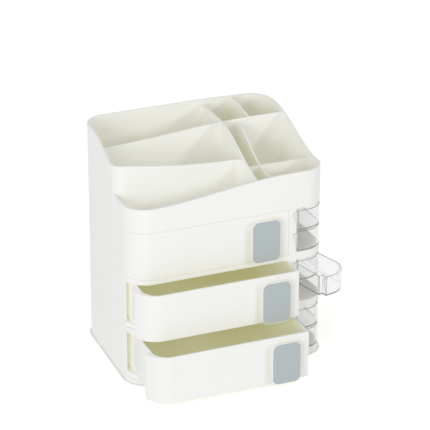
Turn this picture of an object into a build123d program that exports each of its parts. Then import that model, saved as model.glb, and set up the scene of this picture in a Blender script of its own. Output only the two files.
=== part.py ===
from build123d import *
import os
from math import atan, cos

# A desk organizer for cosmetics: three stacked tiers, each with a drawer on the left
# and two clear trays that swing out on the right, under a stepped open top.
# Millimetres. X runs to the right, Y to the back and Z up; the origin is on the table,
# under the centre of the case.

os.makedirs("parts", exist_ok=True)

# The case seen from above. It narrows towards the back.
front_width = 270.0
side_taper = 8.94
depth = 191.4
corner_radius = 29.7
wall = 2.4

# The levels of a tier, from the table up.
base_height = 11.6
floor_height = 7.1
slot_height = 58.0
ceiling_height = 5.1
floor_skin = 2.5
ceiling_skin = 3.0
deck_rim = 6.0

# The step that locates one tier on the next.
step_gap = 0.2
step_width = 2.0
step_rise = 1.6

# The drawer side and the tray side of a tier.
tray_bay_width = 55.0
partition = 2.4
side_opening = 26.2
bay_drop = 2.4
post_width = 11.5
post_depth = 6.7
post_chamfer = 1.2

# The drawers, and how far each stands open, from the lower tier up.
front_thickness = 3.0
front_lap = 5.1
front_gap = 0.4
drawer_gap = 5.2
drawer_lift = 0.3
drawer_wall = 2.0
drawer_front_wall = 2.6
drawer_wrap_radius = 20.0
drawer_inner_radius = 5.0
drawer_pulls = (65.6, 33.5, 0.0)

# The handles: a neck, a plate in front of it and a pad let into the plate.
handle_from_edge = 33.8
handle_rise = 28.5
pad_width = 37.6
pad_height = 55.0
pad_radius = 8.0
pad_thickness = 1.4
pad_recess = 0.8
plate_border = 0.9
plate_thickness = 2.4
neck_inset = 6.5
neck_depth = 5.4

# The swing trays and the pin that both trays of a tier turn on.
pin_from_right = 16.0
pin_from_back = 21.7
pin_radius = 2.5
pin_press = 0.02
pin_clearance = 0.08
pin_socket = 1.6
pin_reach = 2.7
barrel_wall = 2.4
tray_edge_gap = 0.4
tray_partition_gap = 4.3
tray_back_gap = 8.7
tray_wall = 1.6
tray_height = 26.6
tray_gap = 2.6
tray_lift = 0.3
tray_back_radius = 8.0
tray_open_angle = 13.7
post_side_gap = 0.8
post_back_gap = 1.6
lip_reach = 7.7
lip_flare = 3.2
lip_thickness = 1.4
lip_gap = 0.2

# The stepped top, as heights above the top slot.
top_floor = 3.0
front_rim_left = 32.0
front_rim_right = 49.0
middle_rim_left = 69.4
middle_rim_right = 54.6
left_rim_back = 87.0
right_rim_back = 85.5
cross_rim_left = 67.0
cross_rim_right = 78.5
long_divider_front = 43.0
long_divider_back = 81.0
short_divider_front = 39.5
short_divider_back = 75.0
low_cross_rim = 43.0

# Where the rims of the top bend, along the wall that each belongs to.
middle_rim_bend = -31.0
middle_rim_flat = 25.0
left_rim_run_out = 14.4
right_rim_run_out = 9.6

# Where the walls of the top stand.
middle_wall_from_front = 57.2
middle_corner_radius = 14.0
inside_corner_radius = 12.0
cross_wall_from_front = 128.5
low_cross_from_front = 52.5
long_divider_from_right = 96.4
short_divider_from_right = 73.0
short_divider_flat = 36.0
thin_wall = 2.0

# Feet of soft rubber, let into bosses and level with the rim of the base.
foot_radius = 7.0
foot_thickness = 2.5
foot_recess = 1.5
foot_boss = 2.0
foot_from_side = 22.0
foot_from_end = 38.0

# Values that follow from the ones above.
front = -depth / 2
back = depth / 2
right = front_width / 2
beyond = front_width
taper_angle = atan(side_taper / depth)
partition_left = right - tray_bay_width
partition_right = partition_left + partition
wall_end = front + side_opening
back_wall_end = right - side_taper - corner_radius
post_right = partition_left + post_width
post_back = front + post_depth
pin_x = right - pin_from_right
pin_y = back - pin_from_back
tier_pitch = slot_height + ceiling_height + floor_height
cut_margin = 1.0
barrel_radius = pin_radius + pin_clearance + barrel_wall
tray_pitch = tray_height + tray_gap


def half_width(y, inset=0.0):
    """Half the width of the case at a depth, drawn in by an inset."""
    narrowing = side_taper * (y - front) / depth
    return right - narrowing - inset / cos(taper_angle)


def plan(inset=0.0):
    """The outline of the case seen from above, drawn in by an inset."""
    near = front + inset
    far = back - inset
    near_half = half_width(near, inset)
    far_half = half_width(far, inset)
    corners = [(-near_half, near), (near_half, near), (far_half, far), (-far_half, far)]
    outline = Polygon(*corners, align=None)
    return fillet(outline.vertices(), corner_radius - inset)


def span(x_low, x_high, y_low, y_high):
    """A rectangle seen from above, given by its sides."""
    centre = Pos((x_low + x_high) / 2, (y_low + y_high) / 2)
    return centre * Rectangle(x_high - x_low, y_high - y_low)


def raised(sketch, low, high):
    """A flat outline raised from one level to another."""
    return extrude(Pos(0, 0, low) * sketch, high - low)


def disc(x, y, radius, low, high):
    """An upright cylinder between two levels."""
    return raised(Pos(x, y) * Circle(radius), low, high)


def slot_floor(tier):
    """The level that the drawer and trays of a tier stand on."""
    return base_height + tier * tier_pitch


def slot_top(tier):
    """The underside of the deck over a tier."""
    return slot_floor(tier) + slot_height


def pin_foot(tier):
    """The level of the lower end of a tier's pin, just through the floor of the bay."""
    return slot_floor(tier) - bay_drop - pin_reach


def front_strip(outer, inner):
    """The strip of the plan that a drawer front fills, between two insets."""
    strip = plan(outer) - plan(inner)
    return strip & span(-beyond, partition_left, -beyond, wall_end)


def foot_places():
    """Where the four feet stand."""
    places = []
    for y in (front + foot_from_end, back - foot_from_end):
        x = half_width(y) - foot_from_side
        places += [(-x, y), (x, y)]
    return places


def base_bosses():
    """Bosses under the lowest floor that hold the feet."""
    high = slot_floor(0) - floor_skin
    low = foot_thickness - foot_recess
    bosses = []
    for x, y in foot_places():
        boss = disc(x, y, foot_radius + foot_boss, low, high + floor_skin / 2)
        bosses.append(boss - disc(x, y, foot_radius, 0, foot_thickness))
    return bosses


def feet():
    """Four rubber feet, each let into its boss."""
    return [disc(x, y, foot_radius, 0, foot_thickness) for x, y in foot_places()]


def tier_floor(tier):
    """A tier's floor, hollow from below, lower in the tray bay, with a ledge for the front."""
    high = slot_floor(tier)
    low = high - (base_height if tier == 0 else floor_height)
    deck = raised(plan(), low, high)
    deck -= raised(plan(deck_rim), low - cut_margin, high - floor_skin)
    if tier == 0:
        deck = deck + base_bosses()
    ledge = front_strip(-cut_margin, front_thickness + front_gap)
    deck -= raised(ledge, high - front_lap - front_gap, high + cut_margin)
    bay_floor = high - bay_drop
    bay = plan() & span(partition_right, beyond, -beyond, beyond)
    deck += raised(bay, bay_floor - floor_skin, bay_floor)
    deck -= raised(bay, bay_floor, high + cut_margin)
    return deck - disc(pin_x, pin_y, pin_radius + pin_press, pin_foot(tier), high)


def tier_walls(tier):
    """The upright walls of a tier: left side, back, partition and front post."""
    ring = plan() - plan(wall)
    ring -= span(-beyond, beyond, -beyond, wall_end)
    ring -= span(back_wall_end, beyond, -beyond, beyond)
    divider = span(partition_left, partition_right, front + post_depth / 2, back - wall / 2)
    post = Polygon(
        (partition_left, front),
        (post_right - post_chamfer, front),
        (post_right, front + post_chamfer),
        (post_right, post_back),
        (partition_left, post_back),
        align=None,
    )
    return raised(ring + divider + post, slot_floor(tier) - bay_drop, slot_top(tier))


def tier_ceiling(tier):
    """The deck over a tier, with the raised step that the next tier sits over."""
    low = slot_top(tier)
    high = low + ceiling_height
    step_outside = deck_rim + step_gap
    step_inside = step_outside + step_width
    deck = raised(plan(), low, high)
    deck += raised(plan(step_outside), low, high + step_rise)
    deck -= raised(plan(step_inside), low + ceiling_skin, high + step_rise + cut_margin)
    return deck


def pin_hole(tier):
    """The blind hole in the deck over a tier that takes the top of its pin."""
    low = slot_top(tier)
    return disc(pin_x, pin_y, pin_radius + pin_press, low - cut_margin, low + pin_socket)


def eased(start, end, start_height, end_height):
    """The control points of a rim that leaves and reaches its heights level."""
    third = (end - start) / 3
    return [
        (start, start_height),
        (start + third, start_height),
        (end - third, end_height),
        (end, end_height),
    ]


def under_rim(plane, points):
    """Everything below a rim, given by control points over the top slot."""
    low = slot_top(2)
    points = [(place, low + height) for place, height in points]
    first, last = points[0], points[-1]
    below = [last, (beyond, last[1]), (beyond, low), (-beyond, low), (-beyond, first[1]), first]
    outline = Bezier(*points) + Polyline(*below)
    return extrude(plane * make_face(outline), beyond, both=True)


def top_wall(footprint, plane, points):
    """A wall of the top: its footprint raised, then cut down to its rim."""
    low = slot_top(2)
    tall = raised(footprint, low, low + left_rim_back + cut_margin)
    return tall & under_rim(plane, points)


def middle_plan(inset):
    """The outline of the raised left part of the top, drawn in by an inset."""
    wall_face = front + middle_wall_from_front
    outline = plan(inset) & span(-beyond, partition_left, wall_face + inset, beyond)
    corner = outline.vertices().sort_by(lambda v: v.X + v.Y)[0]
    return fillet(corner, middle_corner_radius - inset)


def top_outer_walls():
    """The outside of the top, in stretches that follow their own rims."""
    ring = plan() - plan(wall)
    middle_face = front + middle_wall_from_front
    long_divider = right - long_divider_from_right
    bend_start = front + corner_radius
    bend_end = back - corner_radius
    right_end = bend_end - right_rim_run_out
    low_left = ring & span(-beyond, 0, -beyond, middle_face + middle_corner_radius + wall)
    low_right = ring & span(0, beyond, -beyond, bend_start)
    right_side = ring & span(0, beyond, bend_start, bend_end)
    behind = ring & span(-beyond, beyond, bend_end, beyond)
    front_rim = eased(-right + corner_radius, partition_left, front_rim_left, front_rim_right)
    side_rim = eased(bend_start, right_end, front_rim_right, right_rim_back)
    back_rim = eased(long_divider, back_wall_end, left_rim_back, right_rim_back)
    return [
        top_wall(low_left, Plane.XZ, front_rim),
        top_wall(low_right, Plane.XZ, front_rim),
        top_wall(right_side, Plane.YZ, side_rim),
        top_wall(behind, Plane.XZ, back_rim),
    ]


def top_middle_walls():
    """The left side of the raised part and the wall that it turns into."""
    face = front + middle_wall_from_front
    corner_end = -half_width(face) + middle_corner_radius + wall
    side_end = back - corner_radius
    ring = middle_plan(0.0) - middle_plan(wall)
    left_side = ring & span(-beyond, corner_end, face - wall, side_end)
    facing = span(corner_end, right - long_divider_from_right + wall / 2, face, face + wall)
    rise_start = face + middle_corner_radius
    rise_end = side_end - left_rim_run_out
    left_rim = eased(rise_start, rise_end, middle_rim_left, left_rim_back)
    facing_rim = [
        (corner_end, middle_rim_left),
        (middle_rim_bend, middle_rim_right),
        (middle_rim_flat, middle_rim_right),
    ]
    return [
        top_wall(left_side, Plane.YZ, left_rim),
        top_wall(facing, Plane.XZ, facing_rim),
    ]


def top_inside_corner():
    """The rounded inside corner between the middle wall and the long divider."""
    face = front + middle_wall_from_front
    divider = right - long_divider_from_right
    radius = inside_corner_radius
    square = span(divider - radius, divider + wall / 2, face - radius, face + wall / 2)
    square -= Pos(divider - radius, face - radius) * Circle(radius)
    low = slot_top(2)
    return raised(square, low, low + middle_rim_right)


def top_dividers():
    """The thin walls that part the top into compartments."""
    inside = plan(wall / 2)
    cross_y = front + cross_wall_from_front
    low_y = front + low_cross_from_front
    long_x = right - long_divider_from_right
    short_x = right - short_divider_from_right
    cross = inside & span(-beyond, beyond, cross_y, cross_y + thin_wall)
    low_cross = inside & span(long_x, beyond, low_y, low_y + thin_wall)
    long_wall = inside & span(long_x, long_x + wall, -beyond, beyond)
    short_wall = inside & span(short_x, short_x + thin_wall, -beyond, cross_y + thin_wall / 2)
    back_wall = inside & span(partition_left, partition_right, cross_y, beyond)
    cross_rim = eased(-half_width(cross_y), partition_left, cross_rim_left, cross_rim_right)
    low_rim = [(long_x, low_cross_rim), (right, low_cross_rim)]
    long_rim = eased(front, cross_y, long_divider_front, long_divider_back)
    short_rim = eased(
        front + short_divider_flat, cross_y, short_divider_front, short_divider_back
    )
    back_rim = eased(cross_y, back, cross_rim_right, right_rim_back)
    return [
        top_wall(cross, Plane.XZ, cross_rim),
        top_wall(low_cross, Plane.XZ, low_rim),
        top_wall(long_wall, Plane.YZ, long_rim),
        top_wall(short_wall, Plane.YZ, short_rim),
        top_wall(back_wall, Plane.YZ, back_rim),
    ]


def housing(tier):
    """One tier of the case: floor, walls and the deck over them."""
    body = tier_floor(tier) + tier_walls(tier)
    if tier < 2:
        body = body + tier_ceiling(tier)
    else:
        low = slot_top(tier)
        body = body + raised(plan(), low, low + top_floor)
        body = body + top_outer_walls() + top_middle_walls()
        body = body + top_inside_corner() + top_dividers()
    return body - pin_hole(tier)


def drawer_hollow():
    """The inside of a drawer seen from above, with its front left corner wrapped."""
    near = front + drawer_front_wall
    inset = wall + drawer_gap + drawer_wall
    far = back - inset
    hollow_right = partition_left - front_gap - drawer_wall
    outline = Polygon(
        (-half_width(near, inset), near),
        (hollow_right, near),
        (hollow_right, far),
        (-half_width(far, inset), far),
        align=None,
    )
    near_left = outline.vertices().sort_by(lambda v: v.X + v.Y)[0]
    outline = fillet(near_left, drawer_wrap_radius)
    far_left = outline.vertices().sort_by(lambda v: v.Y - v.X)[-1]
    outline = fillet(far_left, corner_radius - inset)
    square_corners = outline.vertices().group_by(Axis.X)[-1]
    return fillet(square_corners, drawer_inner_radius)


def drawer(tier):
    """A drawer: a wrapped front on an open box, standing open by its pull."""
    low = slot_floor(tier) + drawer_lift
    high = slot_top(tier) - front_gap
    box_right = partition_left - front_gap
    front_end = wall_end - front_gap
    side = span(-beyond, box_right, -beyond, beyond)
    near_side = span(-beyond, box_right, -beyond, front_end)
    face = (plan() - plan(front_thickness)) & near_side
    behind_face = plan(front_thickness / 2) & near_side
    box = (plan(wall + drawer_gap) & side) + behind_face
    body = raised(box, low, high)
    body += raised(face, slot_floor(tier) - front_lap, high)
    body -= raised(drawer_hollow(), low + drawer_wall, high + cut_margin)
    return Pos(0, -drawer_pulls[tier], 0) * body


def rounded_plate(width, height, radius, near, far):
    """An upright plate with rounded corners between two distances out from a front."""
    face = Plane.XZ * RectangleRounded(width, height, radius)
    return Pos(0, -near, 0) * extrude(face, far - near)


def handle_place(tier):
    """The middle of a handle on its drawer front."""
    x = partition_left - front_gap - handle_from_edge
    z = slot_floor(tier) - front_lap + handle_rise
    return Pos(x, front - drawer_pulls[tier], z)


def handle_base(tier):
    """The white handle: a neck and a plate with a shallow recess."""
    width = pad_width + 2 * plate_border
    height = pad_height + 2 * plate_border
    radius = pad_radius + plate_border
    plate_face = neck_depth + plate_thickness
    neck = rounded_plate(width - 2 * neck_inset, height - 2 * neck_inset, radius, 0, plate_face)
    plate = rounded_plate(width, height, radius, neck_depth, plate_face)
    recess = rounded_plate(
        pad_width, pad_height, pad_radius, plate_face - pad_recess, plate_face + cut_margin
    )
    return handle_place(tier) * (neck + plate - recess)


def handle_pad(tier):
    """The grey pad in the plate's recess."""
    seat = neck_depth + plate_thickness - pad_recess
    pad = rounded_plate(pad_width, pad_height, pad_radius, seat, seat + pad_thickness)
    outer_edges = pad.edges().group_by(Axis.Y)[0]
    pad = fillet(outer_edges, (pad_thickness - pad_recess) / 2)
    return handle_place(tier) * pad


def tray_plan(inset):
    """A closed swing tray seen from above, drawn in by an inset."""
    left = partition_right + tray_partition_gap + inset
    far = back - tray_back_gap - inset
    outline = plan(tray_edge_gap + inset) & span(left, beyond, -beyond, far)
    corner = outline.vertices().sort_by(lambda v: v.Y - v.X)[-1]
    outline = fillet(corner, tray_back_radius - inset)
    notch_right = post_right + post_side_gap + inset
    notch_back = post_back + post_back_gap + inset
    return outline - span(-beyond, notch_right, -beyond, notch_back)


def tray_lip(low, high):
    """The thin pull at the tray's front edge, wide at the rim and nothing at the floor."""
    root_x = post_right + post_side_gap + tray_wall
    root_y = front + tray_edge_gap
    tip_x = root_x - tray_wall - lip_reach
    tip_y = root_y - lip_flare
    outline = Polygon(
        (root_x - tray_wall, root_y + lip_thickness),
        (root_x - tray_wall, root_y - lip_gap),
        (tip_x, tip_y - lip_gap),
        (tip_x, tip_y - lip_gap - lip_thickness),
        (root_x, root_y - lip_gap),
        (root_x, root_y + lip_thickness),
        align=None,
    )
    shape = Polygon(
        (root_x, low),
        (root_x - tray_wall, low),
        (tip_x, high),
        (root_x, high),
        align=None,
    )
    return raised(outline, low, high) & extrude(Plane.XZ * shape, beyond, both=True)


def swing_tray(tier, level):
    """A clear tray with the barrel that turns on the tier's pin."""
    low = slot_floor(tier) - bay_drop + tray_lift + level * tray_pitch
    high = low + tray_height
    barrel_top = low + tray_pitch - tray_lift
    if level == 1:
        barrel_top = slot_top(tier) - tray_lift
    body = raised(tray_plan(0.0), low, high)
    body -= raised(tray_plan(tray_wall), low + tray_wall, high + cut_margin)
    body += tray_lip(low + tray_wall, high)
    body += disc(pin_x, pin_y, barrel_radius, low, barrel_top)
    body -= disc(pin_x, pin_y, pin_radius + pin_clearance, low - cut_margin, barrel_top + cut_margin)
    if (tier, level) == (1, 0):
        turn = Pos(pin_x, pin_y, 0) * Rot(0, 0, tray_open_angle) * Pos(-pin_x, -pin_y, 0)
        body = turn * body
    return body


def hinge_pin(tier):
    """The plain pin that a tier's trays turn on, pressed in at both ends."""
    return disc(pin_x, pin_y, pin_radius, pin_foot(tier), slot_top(tier) + pin_socket)


def write(name, *shapes):
    """One sub-part to its own file, under its own name."""
    solids = [solid for shape in shapes for solid in shape.solids()]
    whole = solids[0] if len(solids) == 1 else Compound(children=solids)
    whole.label = name
    export_step(whole, f"parts/{name}.step")


for number, tier_name in enumerate(("lower", "middle", "upper")):
    write(f"{tier_name}_housing", housing(number))
    write(f"{tier_name}_drawer", drawer(number))
    write(f"{tier_name}_handle", handle_base(number))
    write(f"{tier_name}_handle_pad", handle_pad(number))
    write(f"{tier_name}_tray_bottom", swing_tray(number, 0))
    write(f"{tier_name}_tray_top", swing_tray(number, 1))
    write(f"{tier_name}_hinge_pin", hinge_pin(number))

write("feet", *feet())
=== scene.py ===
import math

import bpy
from bpy.props import FloatProperty, FloatVectorProperty, PointerProperty
from bpy.types import Operator, Panel, PropertyGroup
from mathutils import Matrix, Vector

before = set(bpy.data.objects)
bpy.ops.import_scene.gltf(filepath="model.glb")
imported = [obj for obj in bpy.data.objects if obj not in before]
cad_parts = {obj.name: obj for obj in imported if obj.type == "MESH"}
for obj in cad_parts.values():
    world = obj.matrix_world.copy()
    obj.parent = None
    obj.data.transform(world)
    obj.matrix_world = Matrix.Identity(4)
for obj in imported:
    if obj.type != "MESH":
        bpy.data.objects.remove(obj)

bl_info = {
    "name": "Makeup Drawer Organizer",
    "version": (1, 0, 0),
    "blender": (4, 5, 0),
    "location": "3D View > Sidebar > Organizer",
    "description": "Finishes the packed organizer and sets up its studio",
    "category": "Object",
}

TIERS = ("lower", "middle", "upper")
LEVELS = ("bottom", "top")
SHADER = "surface shader"

BLACK = (0.0, 0.0, 0.0)
WHITE = (1.0, 1.0, 1.0)

# The colour mix node has several sockets of the same name, so they go by number.
MIX_SHARE = 0
MIX_START = 6
MIX_END = 7
MIX_RESULT = 2

# Rounding of the edges.
JOIN_DISTANCE = 0.00001
ROUNDING_STEPS = 3
SHARP_ANGLE = math.radians(32)

# The white plastic is given a painted glow (emission) on rays that have bounced more often than
# this, standing in for light through its thin walls. The drawers' painted side glow covers their
# left wall behind the front, given as shares of a drawer's width and depth.
DEEP_BOUNCES = 1.5
GLOW_LEFT_WALL = 0.1
GLOW_BEHIND_FRONT = 0.12

# The clear plastic: how the painted edge tint gathers where it is seen edge on, how far the
# rounded normal turns between a face and its edge where the painted dark edge line is drawn, and
# how much of the light passes.
TRAY_IOR = 1.49
RIM_BLEND = 0.35
RIM_POWER = 2.2
PAINTED_LINE_STARTS = 0.98
PAINTED_LINE_FULL = 0.85
PAINTED_LINE_SHARE = 0.92
PASSING_LIGHT = 0.93

# The stage, in metres. The floor lies just under the feet.
FLOOR_HALF = 6.0
FLOOR_LEVEL = -0.0002
FLOOR_GREY = 0.86
# Sharpness of the floor's painted contact shadow.
PAINTED_CONTACT_SHADOW_POWER = 6.0
LAMP_TARGET = (0.0, 0.0, 0.15)
KEY_PLACE = (1.69, -2.02, 1.11)
KEY_SIZE = 0.35
FILL_PLACE = (-1.79, -1.75, 0.82)
FILL_SIZE = 1.2
SENSOR_WIDTH = 36.0
CAMERA_REACH = 50.0


class OrganizerCase(PropertyGroup):
    """The white mouldings: tiers of the case, drawers and handles."""

    edge_radius: FloatProperty(
        name="Edge radius",
        description="Rounding of the moulded edges",
        default=0.0006,
        min=0.0,
        subtype="DISTANCE",
        unit="LENGTH",
    )
    colour: FloatVectorProperty(
        name="Colour",
        description="White of the moulded plastic",
        default=(0.917, 0.92, 0.922),
        size=3,
        min=0.0,
        max=1.0,
        subtype="COLOR",
    )
    # Strength of the painted glow (emission) in deep cavities, standing in for light through the
    # thin walls.
    cavity_glow: FloatProperty(
        name="Inner light",
        description="How much light comes through the thin walls into drawers and compartments",
        default=0.115,
        min=0.0,
    )
    # Colour of that painted glow (emission).
    cavity_glow_colour: FloatVectorProperty(
        name="Inner colour",
        description="Colour of the light that has come through the plastic",
        default=(1.0, 0.93, 0.24),
        size=3,
        min=0.0,
        max=1.0,
        subtype="COLOR",
    )
    # Colour of a painted glow (emission) on the drawers' left walls, standing in for light through
    # the case's side wall.
    side_glow_colour: FloatVectorProperty(
        name="Side colour",
        description="Light that comes through the case's side wall onto the drawers",
        default=(0.205, 0.205, 0.18),
        size=3,
        min=0.0,
        max=1.0,
        subtype="COLOR",
    )
    # Reach of the occlusion test that places this painted side glow.
    side_glow_reach: FloatProperty(
        name="Side reach",
        description="How near the case's side wall is to a drawer wall that it lights",
        default=0.016,
        min=0.0,
        subtype="DISTANCE",
        unit="LENGTH",
    )
    drawer_edge_radius: FloatProperty(
        name="Drawer edge radius",
        description="Rounding of the drawers' edges",
        default=0.0009,
        min=0.0,
        subtype="DISTANCE",
        unit="LENGTH",
    )
    roughness: FloatProperty(
        name="Roughness",
        description="Satin finish of the moulded plastic",
        default=0.38,
        min=0.0,
        max=1.0,
        subtype="FACTOR",
    )


class OrganizerPad(PropertyGroup):
    """The soft grey pads of the handles."""

    edge_radius: FloatProperty(
        name="Edge radius",
        description="Rounding of the pad's outer edge",
        default=0.0003,
        min=0.0,
        subtype="DISTANCE",
        unit="LENGTH",
    )
    colour: FloatVectorProperty(
        name="Colour",
        description="Blue grey of the soft pad",
        default=(0.46, 0.515, 0.54),
        size=3,
        min=0.0,
        max=1.0,
        subtype="COLOR",
    )


class OrganizerTray(PropertyGroup):
    """The clear trays that swing out at the right."""

    edge_radius: FloatProperty(
        name="Edge radius",
        description="Rounding of the tray's edges",
        default=0.0004,
        min=0.0,
        subtype="DISTANCE",
        unit="LENGTH",
    )
    colour: FloatVectorProperty(
        name="Colour",
        description="Tint of the clear plastic",
        default=(0.97, 0.975, 0.98),
        size=3,
        min=0.0,
        max=1.0,
        subtype="COLOR",
    )
    # Painted edge tint, standing in for reflection and refraction where the plastic is seen edge
    # on.
    painted_edge_colour: FloatVectorProperty(
        name="Edge colour",
        description="Tint of the clear plastic where it is seen edge on",
        default=(0.93, 0.94, 0.94),
        size=3,
        min=0.0,
        max=1.0,
        subtype="COLOR",
    )
    line_width: FloatProperty(
        name="Line width",
        description="How far the line along each edge reaches",
        default=0.001,
        min=0.0,
        subtype="DISTANCE",
        unit="LENGTH",
    )
    # Painted dark line along each edge, standing in for refraction of darker surroundings.
    painted_line_colour: FloatVectorProperty(
        name="Line colour",
        description="Colour of the line along each edge",
        default=(0.6, 0.61, 0.61),
        size=3,
        min=0.0,
        max=1.0,
        subtype="COLOR",
    )
    # Share of the painted edge tint shown as a milky diffuse where the plastic is seen edge on.
    edge_frost: FloatProperty(
        name="Edge frost",
        description="How milky the clear plastic looks where it is seen edge on",
        default=0.65,
        min=0.0,
        max=1.0,
        subtype="FACTOR",
    )


class OrganizerStudio(PropertyGroup):
    """Camera, lamps and floor."""

    camera_place: FloatVectorProperty(
        name="Camera place",
        description="Where the camera stands",
        default=(-1.14965, -2.76424, 1.5179),
        size=3,
        subtype="TRANSLATION",
        unit="LENGTH",
    )
    camera_pitch: FloatProperty(
        name="Camera pitch",
        description="How far the camera looks down",
        default=math.radians(24.12),
        subtype="ANGLE",
        unit="ROTATION",
    )
    camera_yaw: FloatProperty(
        name="Camera yaw",
        description="How far the camera is turned to the right",
        default=math.radians(22.92),
        subtype="ANGLE",
        unit="ROTATION",
    )
    focal_length: FloatProperty(
        name="Focal length",
        description="Focal length of the lens in millimetres",
        default=213.74,
        min=1.0,
    )
    floor_lift: FloatProperty(
        name="Floor lift",
        description="Brightness added to the floor where it is seen, so that it runs to white",
        default=0.50,
        min=0.0,
    )
    # Painted contact shadow: the floor's added brightness fades within this distance of the case.
    painted_contact_shadow: FloatProperty(
        name="Contact line",
        description="How far the dark line where the case meets the floor reaches",
        default=0.004,
        min=0.0,
        subtype="DISTANCE",
        unit="LENGTH",
    )
    daylight: FloatProperty(
        name="Daylight",
        description="Strength of the even light from all round",
        default=0.612,
        min=0.0,
    )
    daylight_colour: FloatVectorProperty(
        name="Daylight colour",
        description="Colour of the even light",
        default=(1.0, 1.0, 0.97),
        size=3,
        min=0.0,
        max=1.0,
        subtype="COLOR",
    )
    key_power: FloatProperty(
        name="Key power",
        description="Power of the small lamp at the front right",
        default=11.0,
        min=0.0,
        unit="POWER",
    )
    fill_power: FloatProperty(
        name="Fill power",
        description="Power of the large lamp at the front left",
        default=20.4,
        min=0.0,
        unit="POWER",
    )


def settings():
    """The add-on's own settings, kept on the scene."""
    return bpy.context.scene.organizer


class NodeBoard:
    """Places nodes in a tree and links them by socket name or number."""

    def __init__(self, tree, clear=True):
        self.tree = tree
        if clear:
            self.tree.nodes.clear()

    def add(self, kind, links=None, **values):
        """A new node with its settings and what feeds its sockets."""
        node = self.tree.nodes.new(kind)
        for name, value in values.items():
            setattr(node, name, value)
        for name, source in (links or {}).items():
            self.feed(node, name, source)
        return node

    def feed(self, node, name, source):
        """Links a socket to another, or gives it a constant."""
        socket = node.inputs[name]
        if isinstance(source, bpy.types.NodeSocket):
            self.tree.links.new(source, socket)
        else:
            socket.default_value = source

    def maths(self, operation, first, second, clamp=False):
        """The output of one operation on two numbers."""
        node = self.add(
            "ShaderNodeMath", {0: first, 1: second}, operation=operation, use_clamp=clamp
        )
        return node.outputs[0]

    def blend(self, share, start, end):
        """The output of a mix of two colours."""
        node = self.add(
            "ShaderNodeMix",
            {MIX_SHARE: share, MIX_START: start, MIX_END: end},
            data_type="RGBA",
        )
        return node.outputs[MIX_RESULT]


def opaque(colour):
    """A colour as a node's socket takes it."""
    return (*colour, 1.0)


def moulded_surface_group():
    """Shared effect: the fine grain and faint unevenness of an injection moulded face."""
    name = "Moulded Surface"
    if name in bpy.data.node_groups:
        return bpy.data.node_groups[name]
    tree = bpy.data.node_groups.new(name, "ShaderNodeTree")
    for socket, kind, default in (
        ("Colour", "NodeSocketColor", (0.9, 0.9, 0.9, 1.0)),
        ("Unevenness", "NodeSocketFloat", 0.02),
        ("Roughness", "NodeSocketFloat", 0.4),
        ("Roughness Spread", "NodeSocketFloat", 0.05),
        ("Grain Scale", "NodeSocketFloat", 900.0),
        ("Grain Depth", "NodeSocketFloat", 0.02),
        ("Grain Height", "NodeSocketFloat", 0.0002),
        ("Flow Scale", "NodeSocketFloat", 14.0),
    ):
        made = tree.interface.new_socket(name=socket, in_out="INPUT", socket_type=kind)
        made.default_value = default
    for socket, kind in (
        ("Colour", "NodeSocketColor"),
        ("Roughness", "NodeSocketFloat"),
        ("Normal", "NodeSocketVector"),
    ):
        tree.interface.new_socket(name=socket, in_out="OUTPUT", socket_type=kind)
    board = NodeBoard(tree)
    given = board.add("NodeGroupInput").outputs
    place = board.add("ShaderNodeTexCoord").outputs["Object"]
    flow = board.add("ShaderNodeTexNoise", {"Vector": place, "Scale": given["Flow Scale"]})
    grain = board.add("ShaderNodeTexNoise", {"Vector": place, "Scale": given["Grain Scale"]})
    centred = board.maths("SUBTRACT", flow.outputs["Fac"], 0.5)
    shade = board.maths("MULTIPLY", centred, given["Unevenness"])
    brightness = board.maths("ADD", shade, 1.0)
    tinted = board.add(
        "ShaderNodeVectorMath", {0: given["Colour"], "Scale": brightness}, operation="SCALE"
    )
    spread = board.maths("MULTIPLY", centred, given["Roughness Spread"])
    rough = board.maths("ADD", spread, given["Roughness"], clamp=True)
    bump = board.add(
        "ShaderNodeBump",
        {
            "Strength": given["Grain Depth"],
            "Distance": given["Grain Height"],
            "Height": grain.outputs["Fac"],
        },
    )
    board.add(
        "NodeGroupOutput",
        {"Colour": tinted.outputs[0], "Roughness": rough, "Normal": bump.outputs["Normal"]},
    )
    return tree


def moulded_surface(board, colour, roughness, effect):
    """The shared effect as a node, with its settings given by name."""
    surface = board.add(
        "ShaderNodeGroup",
        {"Colour": opaque(colour), "Roughness": roughness},
        node_tree=moulded_surface_group(),
    )
    for socket, value in effect.items():
        board.feed(surface, socket.replace("_", " ").title(), value)
    return surface


def moulded_material(name, colour, roughness, specular=0.5, metallic=0.0, **effect):
    """A Principled material whose colour, roughness and normal come from the shared effect."""
    material = bpy.data.materials.new(name)
    material.use_nodes = True
    board = NodeBoard(material.node_tree)
    surface = moulded_surface(board, colour, roughness, effect)
    shader = board.add(
        "ShaderNodeBsdfPrincipled",
        {
            "Base Color": surface.outputs["Colour"],
            "Metallic": metallic,
            "Roughness": surface.outputs["Roughness"],
            "Normal": surface.outputs["Normal"],
            "Specular IOR Level": specular,
        },
        name=SHADER,
    )
    board.add("ShaderNodeOutputMaterial", {"Surface": shader.outputs["BSDF"]})
    return material


def paint_cavity_glow(material, colour):
    """A painted glow (emission) on rays that have bounced more than once, which brightens deep
    cavities; it stands in for light that the plastic lets through.
    """
    board = NodeBoard(material.node_tree, clear=False)
    shader = board.tree.nodes[SHADER]
    ray = board.add("ShaderNodeLightPath")
    deep = board.maths("GREATER_THAN", ray.outputs["Diffuse Depth"], DEEP_BOUNCES)
    board.feed(shader, "Emission Color", board.blend(deep, opaque(BLACK), opaque(colour)))
    board.feed(shader, "Emission Strength", 1.0)
    material.cycles.emission_sampling = "NONE"


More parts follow.
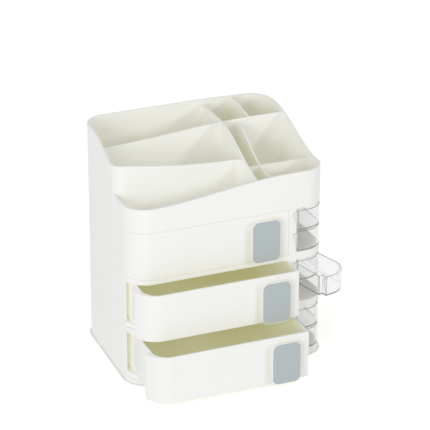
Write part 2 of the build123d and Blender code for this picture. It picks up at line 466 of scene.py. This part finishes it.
def white_plastic():
    """Satin white plastic of the case, drawers and handles, with a painted glow in deep cavities.
    """
    name = "white moulded plastic"
    if name in bpy.data.materials:
        return bpy.data.materials[name]
    case = settings().case
    material = moulded_material(
        name,
        case.colour,
        case.roughness,
        specular=0.4,
        unevenness=0.02,
        roughness_spread=0.08,
        grain_depth=0.05,
    )
    paint_cavity_glow(material, [case.cavity_glow * part for part in case.cavity_glow_colour])
    return material


def drawer_plastic():
    """The white plastic of the drawers, with a painted glow (emission) on their left walls where
    the case's side wall closes them in; it stands in for light through the case's side.
    """
    case = settings().case
    material = white_plastic().copy()
    material.name = "white drawer plastic"
    board = NodeBoard(material.node_tree, clear=False)
    shader = board.tree.nodes[SHADER]
    cavity_glow_socket = shader.inputs["Emission Color"].links[0].from_socket
    place = board.add("ShaderNodeTexCoord").outputs["Generated"]
    split = board.add("ShaderNodeSeparateXYZ", {"Vector": place})
    left = board.maths("LESS_THAN", split.outputs["X"], GLOW_LEFT_WALL)
    behind = board.maths("GREATER_THAN", split.outputs["Y"], GLOW_BEHIND_FRONT)
    wall = board.maths("MULTIPLY", left, behind)
    # Painted glow: the more closely the case's side wall closes a drawer's left wall in, the more
    # emission it gets.
    gap = board.add("ShaderNodeAmbientOcclusion", {"Distance": case.side_glow_reach})
    shut_in = board.maths("SUBTRACT", 1.0, gap.outputs["AO"], clamp=True)
    side = board.maths("MULTIPLY", wall, shut_in)
    board.feed(shader, "Emission Color", board.blend(side, cavity_glow_socket, opaque(case.side_glow_colour)))
    return material


def soft_grey():
    """Soft touch grey of the handle pads."""
    return moulded_material(
        "soft grey pad",
        settings().pad.colour,
        roughness=0.5,
        specular=0.45,
        unevenness=0.03,
        grain_depth=0.12,
    )


def painted_edge_line(board, width):
    """How much of the painted dark line along its edges a point of a piece takes."""
    rounded = board.add("ShaderNodeBevel", {"Radius": width}).outputs["Normal"]
    flat = board.add("ShaderNodeNewGeometry").outputs["Normal"]
    agreement = board.add("ShaderNodeVectorMath", {0: rounded, 1: flat}, operation="DOT_PRODUCT")
    line = board.add(
        "ShaderNodeMapRange",
        {
            "Value": agreement.outputs["Value"],
            "From Min": PAINTED_LINE_STARTS,
            "From Max": PAINTED_LINE_FULL,
            "To Max": PAINTED_LINE_SHARE,
        },
    )
    return line.outputs["Result"]


def clear_plastic():
    """Clear plastic of the swing trays: painted milky and grey edge on and along its edges,
    standing in for reflection and refraction there; open to light.
    """
    tray = settings().tray
    material = bpy.data.materials.new("clear tray plastic")
    material.use_nodes = True
    board = NodeBoard(material.node_tree)
    grain = {
        "unevenness": 0.01,
        "roughness_spread": 0.02,
        "grain_scale": 60.0,
        "grain_depth": 0.03,
    }
    surface = moulded_surface(board, tray.colour, 0.04, grain)
    rim = board.add("ShaderNodeLayerWeight", {"Blend": RIM_BLEND})
    edge_on = board.maths("POWER", rim.outputs["Facing"], RIM_POWER)
    glass = board.add(
        "ShaderNodeBsdfPrincipled",
        {
            "Base Color": board.blend(
                edge_on, surface.outputs["Colour"], opaque(tray.painted_edge_colour)
            ),
            "Roughness": surface.outputs["Roughness"],
            "Normal": surface.outputs["Normal"],
            "IOR": TRAY_IOR,
            "Transmission Weight": 1.0,
        },
    )
    line = painted_edge_line(board, tray.line_width)
    # Painted edge tint and dark edge line, standing in for reflection and refraction at the edges.
    painted_edge_tint = board.blend(line, opaque(tray.painted_edge_colour), opaque(tray.painted_line_colour))
    frost = board.add("ShaderNodeBsdfDiffuse", {"Color": painted_edge_tint})
    grazing = board.maths("MULTIPLY", edge_on, tray.edge_frost)
    share = board.maths("MAXIMUM", grazing, line)
    walls = board.add(
        "ShaderNodeMixShader", {0: share, 1: glass.outputs["BSDF"], 2: frost.outputs[0]}
    )
    ray = board.add("ShaderNodeLightPath")
    unseen = board.maths("MAXIMUM", ray.outputs["Is Shadow Ray"], ray.outputs["Is Diffuse Ray"])
    passing = board.add("ShaderNodeBsdfTransparent", {"Color": opaque([PASSING_LIGHT] * 3)})
    mixed = board.add(
        "ShaderNodeMixShader", {0: unseen, 1: walls.outputs[0], 2: passing.outputs[0]}
    )
    board.add("ShaderNodeOutputMaterial", {"Surface": mixed.outputs[0]})
    return material


def pin_steel():
    """Drawn steel of the hinge pins."""
    return moulded_material(
        "pin steel",
        colour=(0.62, 0.62, 0.63),
        roughness=0.28,
        metallic=1.0,
        unevenness=0.06,
        grain_scale=2500.0,
        grain_depth=0.1,
    )


def foot_rubber():
    """Pale rubber of the feet."""
    return moulded_material(
        "foot rubber",
        colour=(0.55, 0.55, 0.54),
        roughness=0.75,
        specular=0.3,
        unevenness=0.08,
        grain_depth=0.3,
    )


def soften_edges(piece, radius):
    """Rounds a moulding's edges and shades its curved walls smoothly."""
    piece.data.shade_smooth()
    weld = piece.modifiers.new("join faces", "WELD")
    weld.merge_threshold = JOIN_DISTANCE
    bevel = piece.modifiers.new("moulded edges", "BEVEL")
    bevel.width = radius
    bevel.segments = ROUNDING_STEPS
    bevel.limit_method = "ANGLE"
    bevel.angle_limit = SHARP_ANGLE
    bevel.use_clamp_overlap = True
    flat = piece.modifiers.new("flat faces", "WEIGHTED_NORMAL")
    flat.mode = "FACE_AREA"


def finish_node(node, material, radius):
    """Gives a carried-over part its material and edge rounding."""
    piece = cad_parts[node]
    piece.data.materials.clear()
    piece.data.materials.append(material)
    if radius > 0.0:
        soften_edges(piece, radius)


class ORGANIZER_OT_case(Operator):
    """Finish the three tiers of the case"""

    bl_idname = "organizer.case"
    bl_label = "Case"

    def execute(self, context):
        white = white_plastic()
        radius = settings().case.edge_radius
        for tier in TIERS:
            finish_node(f"{tier}_housing", white, radius)
        return {"FINISHED"}


class ORGANIZER_OT_drawers(Operator):
    """Finish the three drawers"""

    bl_idname = "organizer.drawers"
    bl_label = "Drawers"

    def execute(self, context):
        white = drawer_plastic()
        radius = settings().case.drawer_edge_radius
        for tier in TIERS:
            finish_node(f"{tier}_drawer", white, radius)
        return {"FINISHED"}


class ORGANIZER_OT_handles(Operator):
    """Finish the handles and their soft pads"""

    bl_idname = "organizer.handles"
    bl_label = "Handles"

    def execute(self, context):
        white = white_plastic()
        grey = soft_grey()
        radius = settings().case.edge_radius / 2
        pad_radius = settings().pad.edge_radius
        for tier in TIERS:
            finish_node(f"{tier}_handle", white, radius)
            finish_node(f"{tier}_handle_pad", grey, pad_radius)
        return {"FINISHED"}


class ORGANIZER_OT_trays(Operator):
    """Finish the six clear swing trays"""

    bl_idname = "organizer.trays"
    bl_label = "Swing trays"

    def execute(self, context):
        clear = clear_plastic()
        radius = settings().tray.edge_radius
        for tier in TIERS:
            for level in LEVELS:
                finish_node(f"{tier}_tray_{level}", clear, radius)
        return {"FINISHED"}


class ORGANIZER_OT_pins_and_feet(Operator):
    """Finish the hinge pins and the feet"""

    bl_idname = "organizer.pins_and_feet"
    bl_label = "Pins and feet"

    def execute(self, context):
        steel = pin_steel()
        for tier in TIERS:
            finish_node(f"{tier}_hinge_pin", steel, settings().tray.edge_radius)
        finish_node("feet", foot_rubber(), settings().case.edge_radius)
        return {"FINISHED"}


def seen_rays(board):
    """One for light that reaches the camera straight, off a gloss or through clear plastic."""
    ray = board.add("ShaderNodeLightPath").outputs
    direct = board.maths("MAXIMUM", ray["Is Camera Ray"], ray["Is Transmission Ray"])
    return board.maths("MAXIMUM", direct, ray["Is Glossy Ray"])


def pale_floor():
    """Paint that keeps the shadow and runs out to white; its seen brightness fades near the base,
    which paints a dark contact shadow line round it.
    """
    studio = settings().studio
    material = bpy.data.materials.new("pale floor")
    material.use_nodes = True
    board = NodeBoard(material.node_tree)
    paint = board.add("ShaderNodeBsdfDiffuse", {"Color": opaque([FLOOR_GREY] * 3)})
    # Painted shade: the floor's seen brightness falls off near the case, drawing a dark contact
    # line.
    near = board.add("ShaderNodeAmbientOcclusion", {"Distance": studio.painted_contact_shadow})
    unshaded_floor = board.maths("POWER", near.outputs["AO"], PAINTED_CONTACT_SHADOW_POWER)
    seen = board.maths("MULTIPLY", seen_rays(board), unshaded_floor)
    lift = board.maths("MULTIPLY", seen, studio.floor_lift)
    glow = board.add("ShaderNodeEmission", {"Strength": lift})
    both = board.add("ShaderNodeAddShader", {0: paint.outputs[0], 1: glow.outputs[0]})
    board.add("ShaderNodeOutputMaterial", {"Surface": both.outputs[0]})
    return material


def studio_floor():
    """A wide flat floor under the organizer."""
    half = FLOOR_HALF
    mesh = bpy.data.meshes.new("studio_floor")
    places = [(-half, -half, 0.0), (half, -half, 0.0), (half, half, 0.0), (-half, half, 0.0)]
    mesh.from_pydata(places, [], [(0, 1, 2, 3)])
    floor = bpy.data.objects.new("studio_floor", mesh)
    floor.location.z = FLOOR_LEVEL
    mesh.materials.append(pale_floor())
    bpy.context.scene.collection.objects.link(floor)


def studio_world(strength, colour):
    """Even daylight, seen as white by the camera and through clear plastic."""
    world = bpy.data.worlds.new("studio daylight")
    bpy.context.scene.world = world
    world.use_nodes = True
    board = NodeBoard(world.node_tree)
    daylight = opaque([strength * part for part in colour])
    given = board.blend(seen_rays(board), daylight, opaque(WHITE))
    sky = board.add("ShaderNodeBackground", {"Color": given})
    board.add("ShaderNodeOutputWorld", {"Surface": sky.outputs[0]})


def studio_lamp(name, place, size, power):
    """A square lamp aimed at the middle of the organizer."""
    lamp = bpy.data.lights.new(name, "AREA")
    lamp.energy = power
    lamp.size = size
    piece = bpy.data.objects.new(name, lamp)
    aim = Vector(LAMP_TARGET) - Vector(place)
    piece.location = place
    piece.rotation_euler = aim.to_track_quat("-Z", "Y").to_euler()
    bpy.context.scene.collection.objects.link(piece)


def studio_camera(studio):
    """The camera at the photograph's viewing angle."""
    camera = bpy.data.cameras.new("studio_camera")
    camera.lens = studio.focal_length
    camera.sensor_width = SENSOR_WIDTH
    camera.clip_end = CAMERA_REACH
    piece = bpy.data.objects.new("studio_camera", camera)
    piece.location = studio.camera_place
    piece.rotation_euler = (math.pi / 2 - studio.camera_pitch, 0.0, -studio.camera_yaw)
    bpy.context.scene.collection.objects.link(piece)
    bpy.context.scene.camera = piece


class ORGANIZER_OT_stage(Operator):
    """Set up the floor, daylight, lamps and camera"""

    bl_idname = "organizer.stage"
    bl_label = "Stage"

    def execute(self, context):
        studio = settings().studio
        studio_floor()
        studio_world(studio.daylight, studio.daylight_colour)
        studio_lamp("key_lamp", KEY_PLACE, KEY_SIZE, studio.key_power)
        studio_lamp("fill_lamp", FILL_PLACE, FILL_SIZE, studio.fill_power)
        studio_camera(studio)
        context.scene.view_settings.view_transform = "Standard"
        return {"FINISHED"}


class OrganizerSettings(PropertyGroup):
    """All of the add-on's settings."""

    case: PointerProperty(type=OrganizerCase)
    pad: PointerProperty(type=OrganizerPad)
    tray: PointerProperty(type=OrganizerTray)
    studio: PointerProperty(type=OrganizerStudio)


class ORGANIZER_PT_panel(Panel):
    """Lists the organizer's operators and settings."""

    bl_idname = "ORGANIZER_PT_panel"
    bl_label = "Organizer"
    bl_space_type = "VIEW_3D"
    bl_region_type = "UI"
    bl_category = "Organizer"

    def draw(self, context):
        layout = self.layout
        for group in (settings().case, settings().pad, settings().tray, settings().studio):
            box = layout.box()
            box.label(text=group.bl_rna.name)
            for name in group.__annotations__:
                box.prop(group, name)
        for operator in OPERATORS:
            layout.operator(operator.bl_idname)


OPERATORS = (
    ORGANIZER_OT_case,
    ORGANIZER_OT_drawers,
    ORGANIZER_OT_handles,
    ORGANIZER_OT_trays,
    ORGANIZER_OT_pins_and_feet,
    ORGANIZER_OT_stage,
)

CLASSES = (
    OrganizerCase,
    OrganizerPad,
    OrganizerTray,
    OrganizerStudio,
    OrganizerSettings,
    *OPERATORS,
    ORGANIZER_PT_panel,
)


def register():
    for item in CLASSES:
        bpy.utils.register_class(item)
    bpy.types.Scene.organizer = PointerProperty(type=OrganizerSettings)


def unregister():
    del bpy.types.Scene.organizer
    for item in reversed(CLASSES):
        bpy.utils.unregister_class(item)


def main():
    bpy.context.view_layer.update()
    register()
    bpy.ops.organizer.case()
    bpy.ops.organizer.drawers()
    bpy.ops.organizer.handles()
    bpy.ops.organizer.trays()
    bpy.ops.organizer.pins_and_feet()
    bpy.ops.organizer.stage()


if __name__ == "__main__":
    main()
